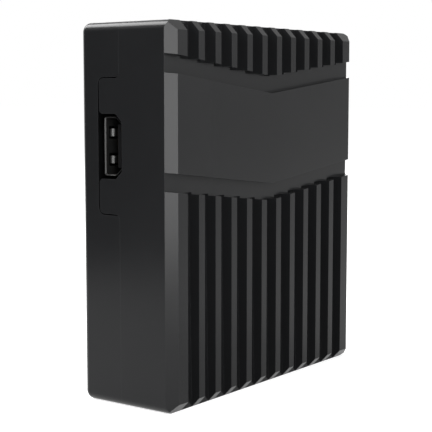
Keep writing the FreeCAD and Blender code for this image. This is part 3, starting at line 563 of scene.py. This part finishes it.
def shape_springs(work, low, high):
    """Moves the crests and tips of the leaf springs to where real ones lie."""
    def corners(start, end, deep, shallow):
        """Corners by their distance in mm from the mouth and from the rear face."""
        return [vertex for vertex in work.verts
                if start < (vertex.co.x - low.x) / MM < end
                and deep < (high.y - vertex.co.y) / MM < shallow]

    crests = corners(start=2.7, end=3.1, deep=0.7, shallow=1.4)
    tips = corners(start=1.7, end=1.9, deep=0.36, shallow=0.9)
    bmesh.ops.translate(work, vec=CREST_SHIFT, verts=crests)
    bmesh.ops.translate(work, vec=TIP_SHIFT, verts=tips)


def bend_sheet(work):
    """Rounds the long folds of the sheet and the bends of the leaf springs."""
    def long_folds(convex):
        return [edge for edge in work.edges
                if runs(edge, 0) and edge.calc_length() > SHORTEST_FOLD
                and edge.calc_face_angle(0) > SHARP and edge.is_convex == convex]

    round_off(work, long_folds(True), FOLD_OUTSIDE, FOLD_STEPS)
    round_off(work, long_folds(False), FOLD_INSIDE, FOLD_STEPS)
    bends = [edge for edge in work.edges
             if runs(edge, 2) and edge.calc_length() < LONGEST_BEND
             and SLIGHTEST_BEND < edge.calc_face_angle(0) < STEEPEST_BEND]
    round_off(work, bends, SPRING_BEND, FOLD_STEPS)


def lean_out(work, low, high):
    """Leans the walls out towards the mouth, more to the front than to the rear."""
    cut_across(work, low.x + LIP_LENGTH)
    for vertex in work.verts:
        out = 1 - (vertex.co.x - low.x) / LIP_LENGTH
        if out <= 0:
            continue
        if vertex.co.y < PORT_MIDDLE_Y:
            share = (PORT_MIDDLE_Y - vertex.co.y) / (PORT_MIDDLE_Y - low.y)
            vertex.co.y -= out * LIP_FRONT * share
        else:
            share = (vertex.co.y - PORT_MIDDLE_Y) / (high.y - PORT_MIDDLE_Y)
            vertex.co.y += out * LIP_REAR * share


def port_shell():
    """Folded sheet: bent corners, a mouth flared inside and two curved leaf springs."""
    work = merged_copy("hdmi_shell")
    low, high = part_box("hdmi_shell")
    middle = Vector((0.0, PORT_MIDDLE_Y, (low.z + high.z) / 2))

    def at_mouth(part):
        return all(abs(vertex.co.x - low.x) < MERGE for vertex in part.verts)

    shape_springs(work, low, high)
    rim = [face for face in work.faces if at_mouth(face)]
    bmesh.ops.delete(work, geom=rim, context="FACES")
    bend_sheet(work)
    lean_out(work, low, high)

    # The inner edge of the mouth is widened, and then the rim is closed again.
    cut_across(work, low.x + FLARE)
    mouth = [edge for edge in work.edges if edge.is_boundary and at_mouth(edge)]
    inner = set()
    for edge in mouth:
        inward = (middle - edge.verts[0].co) * Vector((0.0, 1.0, 1.0))
        if edge.link_faces[0].normal.dot(inward) > 0:
            inner.update(edge.verts)
    widen = Vector((1.0, 1 + FLARE / BORE_HALF_Y, 1 + FLARE / BORE_HALF_Z))
    bmesh.ops.scale(work, vec=widen, space=Matrix.Translation(-middle), verts=list(inner))
    bmesh.ops.bridge_loops(work, edges=mouth)
    bmesh.ops.dissolve_degenerate(work, dist=MERGE, edges=work.edges)
    finished("port_shell", facing_out(work), "black_nickel", stands_for=["hdmi_shell"])


port_shell()
softened("hdmi_insulator", "port_tongue", 0.15 * MM,
         chosen=lambda edge: not beyond(edge, 0, TONGUE_ROOT))


# Network jack, power socket and controls

# Only the edges past these places show.
MOUTHS_X, CAP_X, HEADS_Y = 42.8 * MM, 43.3 * MM, 11.4 * MM


def at_mouths(edge):
    return beyond(edge, 0, MOUTHS_X)


softened("ethernet_shield", "network_shield", 0.07 * MM)
softened("ethernet_body", "network_body", 0.18 * MM, chosen=at_mouths)
softened("ethernet_lights", "network_lights", 0.12 * MM)
softened("power_jack_body", "power_body", 0.25 * MM, steps=3, chosen=at_mouths)
softened("reset_button", "reset_cap", 0.28 * MM, "reset", steps=4,
         chosen=lambda edge: beyond(edge, 0, CAP_X))
softened("reset_switch", "reset_switch_case", 0.15 * MM)
softened("status_light_pipes", "light_pipes", 0.3 * MM, steps=4)
softened("status_leds", "status_lamps", 0.12 * MM)
softened("case_screws", "screws_of_case", 0.12 * MM,
         chosen=lambda edge: beyond(edge, 1, HEADS_Y))
softened("board_screws", "screws_of_board", 0.12 * MM)

PIN_RADIUS = 1.0
# The end of the power pin in mm: radius, distance back from the tip.
PIN_END = ((PIN_RADIUS, 1.9), (0.86, 1.75), (0.86, 1.45), (PIN_RADIUS, 1.3), (PIN_RADIUS, 0.55),
           (0.9, 0.22), (0.62, 0.04), (0, 0))


def power_pin():
    """A turned pin with a domed tip and a groove behind it."""
    low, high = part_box("power_jack_pin")
    reach = (high.x - low.x) / MM
    work = bmesh.new()
    profile = [(0, 0), (PIN_RADIUS, 0)] + [(radius, reach - back) for radius, back in PIN_END]
    turned(work, profile, 0, (low.x, (low.y + high.y) / 2, (low.z + high.z) / 2))
    finished("power_pin", facing_out(work), "plated_pin", stands_for=["power_jack_pin"])


power_pin()


# Parts on the board

softened("heat_spreader", "milled_spreader", 0.2 * MM)
softened("processor", "processor_case", 0.15 * MM)
softened("memory_chips", "memory_cases", 0.1 * MM)
softened("flash_chip", "flash_case", 0.15 * MM)
softened("hdmi_chip", "picture_chip_case", 0.12 * MM)
softened("network_chip", "network_chip_case", 0.1 * MM)
softened("regulator_chip", "regulator_case", 0.15 * MM)
softened("network_transformer", "transformer_case", 0.35 * MM, steps=3)
softened("power_inductor", "inductor_block", 0.7 * MM, steps=4)
softened("thermal_pad", "soft_pad", 0.2 * MM, steps=3)

# A leg in section: mm out from the case, share of its rise, share of its thickness.
GULL_WING = ((-0.1, 1, 1), (0.30, 1, 1), (0.50, 0, 1), (0.85, 0, 1), (0.85, 0, 0), (0.40, 0, 0),
             (0.20, 1, 0), (-0.1, 1, 0))
LEG_THICKNESS = 0.15 * MM
LEG_RISE = 0.45                              # share of the chip's height
SIDES_X, SIDES_Z = ((0, 1), (0, -1)), ((2, 1), (2, -1))    # axis, direction
FRONT, REAR = -1, 1                          # face of the board that a chip stands on

# Chip, legs on a side, their pitch and width in mm, sides that have them, face of the board.
LEGS = (
    ("flash_chip", 4, 1.27, 0.42, SIDES_X, FRONT),
    ("hdmi_chip", 14, 0.5, 0.22, SIDES_X + SIDES_Z, REAR),
    ("network_chip", 12, 0.5, 0.22, SIDES_X + SIDES_Z, REAR),
    ("network_transformer", 8, 1.27, 0.45, SIDES_X, REAR),
    ("regulator_chip", 4, 1.1, 0.4, SIDES_Z, REAR),
)


def add_legs(work, node_name, count, pitch, width, sides, up):
    """Bent legs along the sides of a chip."""
    low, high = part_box(node_name)
    foot = low.y if up == REAR else high.y
    rise = LEG_RISE * (high.y - low.y)
    for axis, sign in sides:
        along = 2 - axis
        edge = high[axis] if sign > 0 else low[axis]
        for place in range(count):
            offset = (place - (count - 1) / 2) * pitch - width / 2
            start = (low[along] + high[along]) / 2 + offset * MM
            outline = []
            for out, lift, thick in GULL_WING:
                point = Vector()
                point[axis] = edge + sign * out * MM
                point[along] = start
                point.y = foot + up * (lift * rise + thick * LEG_THICKNESS)
                outline.append(point)
            reach = Vector()
            reach[along] = width * MM
            extruded(work, outline, reach)


def chip_legs():
    work = bmesh.new()
    for row in LEGS:
        add_legs(work, *row)
    finished("chip_legs", facing_out(work), "plated_pin")


def end_caps():
    """Tinned ends and solder of the small ceramic parts."""
    length, corner, coat = 0.32 * MM, 0.05 * MM, 0.03
    work = bmesh.new()
    for node_name in ("ceramic_capacitors", "hdmi_chokes"):
        for low, high in island_boxes(node_name):
            axis = 0 if high.x - low.x > high.z - low.z else 2
            for near in (True, False):
                start, end = low - mm(coat, 0.0, coat), high + mm(coat, coat, coat)
                if near:
                    end[axis] = low[axis] + length
                else:
                    start[axis] = high[axis] - length
                block(work, start, end, corner)
    finished("ceramic_ends", facing_out(work), "plated_pin")


def capacitor_cans():
    """Drawn cans with a rolled bead, on square moulded feet."""
    foot, foot_edge = 0.7, 0.12 * MM
    cans, feet = bmesh.new(), bmesh.new()
    for low, high in island_boxes("power_capacitors"):
        radius, top = (high.x - low.x) / MM / 2, (high.y - low.y) / MM
        middle = (low + high) / 2
        middle.y = low.y
        bead = [(radius, 1.7), (radius - 0.25, 1.95), (radius - 0.25, 2.15), (radius, 2.4)]
        lid = [(radius, top - 0.4), (radius - 0.12, top - 0.12), (radius - 0.4, top),
               (radius - 0.75, top), (radius - 0.85, top - 0.12), (0, top - 0.12)]
        profile = [(0, foot), (radius - 0.2, foot), (radius, 0.9), *bead, *lid]
        turned(cans, profile, 1, middle)
        block(feet, low, (high.x, low.y + foot * MM, high.z), foot_edge)
    finished("capacitor_cans", facing_out(cans), "capacitor_can", stands_for=["power_capacitors"])
    finished("capacitor_feet", facing_out(feet), "black_insulator")


def crystal_can():
    """A drawn can with round ends and a welded rim at the board."""
    rim_top, rim_width, flat_end = 0.5 * MM, 0.4 * MM, 0.1 * MM
    lid_edge, lid_depth = 0.2 * MM, 0.1 * MM
    low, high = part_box("crystal")
    work = bmesh.new()
    for inset, start, end in ((0.0, low.y, low.y + rim_top), (rim_width, low.y + rim_top, high.y)):
        others = set(work.verts)
        block(work, (low.x + inset, start, low.z + inset), (high.x - inset, end, high.z - inset))
        upright = [edge for edge in work.edges if edge.verts[0] not in others and runs(edge, 1)]
        round_off(work, upright, (high.x - low.x) / 2 - inset - flat_end, steps=6)
    ease(work, lid_edge, steps=3, chosen=lambda edge: beyond(edge, 1, high.y - lid_depth))
    finished("crystal_case", facing_out(work), "crystal_can", stands_for=["crystal"])


POSTS_X, POSTS_Z = (-35.0, 35.0), (9.5, 88.5)


def board_rings():
    """Bare tinned rings round the posts, on both faces of the board."""
    inner, outer, coat = 3.4, 4.3, 0.03
    section = [(inner, 0.0), (outer, 0.0), (outer, coat), (inner, coat), (inner, 0.0)]
    low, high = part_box("main_board")
    work = bmesh.new()
    for x in POSTS_X:
        for z in POSTS_Z:
            for face in (low.y - coat * MM, high.y):
                turned(work, section, 1, (x * MM, face, z * MM), steps=40)
    finished("board_rings", facing_out(work), "plated_pin")


def corner_dots():
    """Printed dots that mark the first leg of each chip."""
    radius, coat, inset = 0.3, 0.02, 0.9 * MM
    section = [(0, 0), (radius, 0), (radius, coat), (0, coat)]
    work = bmesh.new()
    for node_name, up in (("flash_chip", FRONT), ("hdmi_chip", REAR), ("network_chip", REAR),
                          ("regulator_chip", REAR), ("processor", FRONT)):
        low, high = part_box(node_name)
        face = high.y if up == REAR else low.y - coat * MM
        turned(work, section, 1, (low.x + inset, face, high.z - inset), steps=20)
    finished("corner_dots", facing_out(work), "ceramic")


chip_legs()
end_caps()
capacitor_cans()
crystal_can()
board_rings()
corner_dots()


# Camera, light and floor

WHITE = (1.0, 1.0, 1.0, 1.0)
CAMERA_PLACE = (-0.26523, -0.19354, 0.07956)
CAMERA_DOWN, CAMERA_TURN = 5.8847, 53.3901    # degrees
SKY_LIGHT, FLOOR_GLOW = 0.62, 0.64
BOX_MIDDLE = (0.0, 0.0, 0.05)
FLAG_PLACE, FLAG_FACING = (-0.17, 0.10, 0.130), (0.8, -0.6, 0.0)
FLAG_WIDTH, FLAG_HEIGHT = 0.26, 0.24


def make_camera():
    data = bpy.data.cameras.new("photo_camera")
    data.sensor_width = 36.0
    data.lens = 97.504
    data.clip_start, data.clip_end = 0.01, 50.0
    camera = placed("photo_camera", data)
    camera.location = CAMERA_PLACE
    camera.rotation_euler = Euler((math.radians(90 - CAMERA_DOWN), 0.0,
                                   -math.radians(CAMERA_TURN)))
    bpy.context.scene.camera = camera


def seen_directly(tree):
    """1 for camera, glossy and transmitted rays."""
    path = add(tree, "ShaderNodeLightPath")
    total = path.outputs["Is Camera Ray"]
    for kind in ("Is Glossy Ray", "Is Transmission Ray"):
        larger = add(tree, "ShaderNodeMath", operation="MAXIMUM")
        link(tree, total, larger.inputs[0])
        link(tree, path.outputs[kind], larger.inputs[1])
        total = larger.outputs[0]
    return total


def make_world():
    """White where it is seen, and less bright as a light."""
    world = bpy.data.worlds.new("studio")
    bpy.context.scene.world = world
    tree = cleared(world)
    sky = add(tree, "ShaderNodeBackground", {"Color": WHITE})
    strength = blend_factor(tree, SKY_LIGHT, 1.0, seen_directly(tree))
    link(tree, strength, sky.inputs["Strength"])
    show(tree, sky.outputs["Background"], "ShaderNodeOutputWorld")


def staged(name, work, material):
    """Turns a bmesh into a prop that is no part of the converter."""
    mesh = mesh_of(name, work)
    mesh.materials.append(material)
    prop = placed(name, mesh)
    return prop


def make_floor():
    """White paper that glows where it is seen, so that it fades into the background."""
    work = bmesh.new()
    bmesh.ops.create_grid(work, x_segments=2, y_segments=2, size=6.0)
    material = bpy.data.materials.new("white_floor")
    tree = cleared(material)
    paper = add(tree, "ShaderNodeBsdfDiffuse", {"Color": (0.60, 0.60, 0.60, 1.0)})
    glow = add(tree, "ShaderNodeEmission", {"Color": WHITE})
    link(tree, blend_factor(tree, 0.0, FLOOR_GLOW, seen_directly(tree)), glow.inputs["Strength"])
    total = add(tree, "ShaderNodeAddShader")
    link(tree, paper.outputs["BSDF"], total.inputs[0])
    link(tree, glow.outputs["Emission"], total.inputs[1])
    show(tree, total.outputs["Shader"])
    staged("floor", work, material)


def make_flag():
    """A black card behind the left side that only reflections see, so the side stays dark."""
    work = bmesh.new()
    bmesh.ops.create_grid(work, x_segments=1, y_segments=1, size=0.5)
    bmesh.ops.scale(work, vec=(FLAG_WIDTH, FLAG_HEIGHT, 1.0), verts=work.verts)
    facing = Vector(FLAG_FACING).to_track_quat("Z", "Y").to_matrix().to_4x4()
    bmesh.ops.transform(work, matrix=Matrix.Translation(FLAG_PLACE) @ facing, verts=work.verts)
    material = bpy.data.materials.new("black_card")
    tree = cleared(material)
    card = add(tree, "ShaderNodeBsdfDiffuse", {"Color": (0.01, 0.01, 0.01, 1.0)})
    show(tree, card.outputs["BSDF"])
    flag = staged("flag", work, material)
    flag.visible_camera = flag.visible_diffuse = False
    flag.visible_transmission = flag.visible_shadow = False


def soft_box(name, place, target, size, power):
    """A flat light, width by height, that looks at a target."""
    data = bpy.data.lights.new(name, "AREA")
    data.shape = "RECTANGLE"
    data.size, data.size_y = size
    data.energy = power
    light = placed(name, data)
    light.location = place
    light.rotation_euler = (Vector(target) - Vector(place)).to_track_quat("-Z", "Y").to_euler()


make_camera()
make_world()
make_floor()
make_flag()
soft_box("strip_box", place=(-0.21, -0.225, 0.135), target=(-0.042, -0.014, 0.075),
         size=(0.10, 0.27), power=1.15)
soft_box("back_box", place=(-0.24, 0.56, 0.64), target=BOX_MIDDLE, size=(0.75, 0.42), power=15.0)
soft_box("fill_box", place=(0.80, 0.50, 0.12), target=BOX_MIDDLE, size=(0.6, 0.6), power=3.0)
soft_box("key_box", place=(0.55, -0.75, 0.40), target=BOX_MIDDLE, size=(0.5, 0.6), power=1.6)

bpy.context.scene.view_settings.view_transform = "Standard"
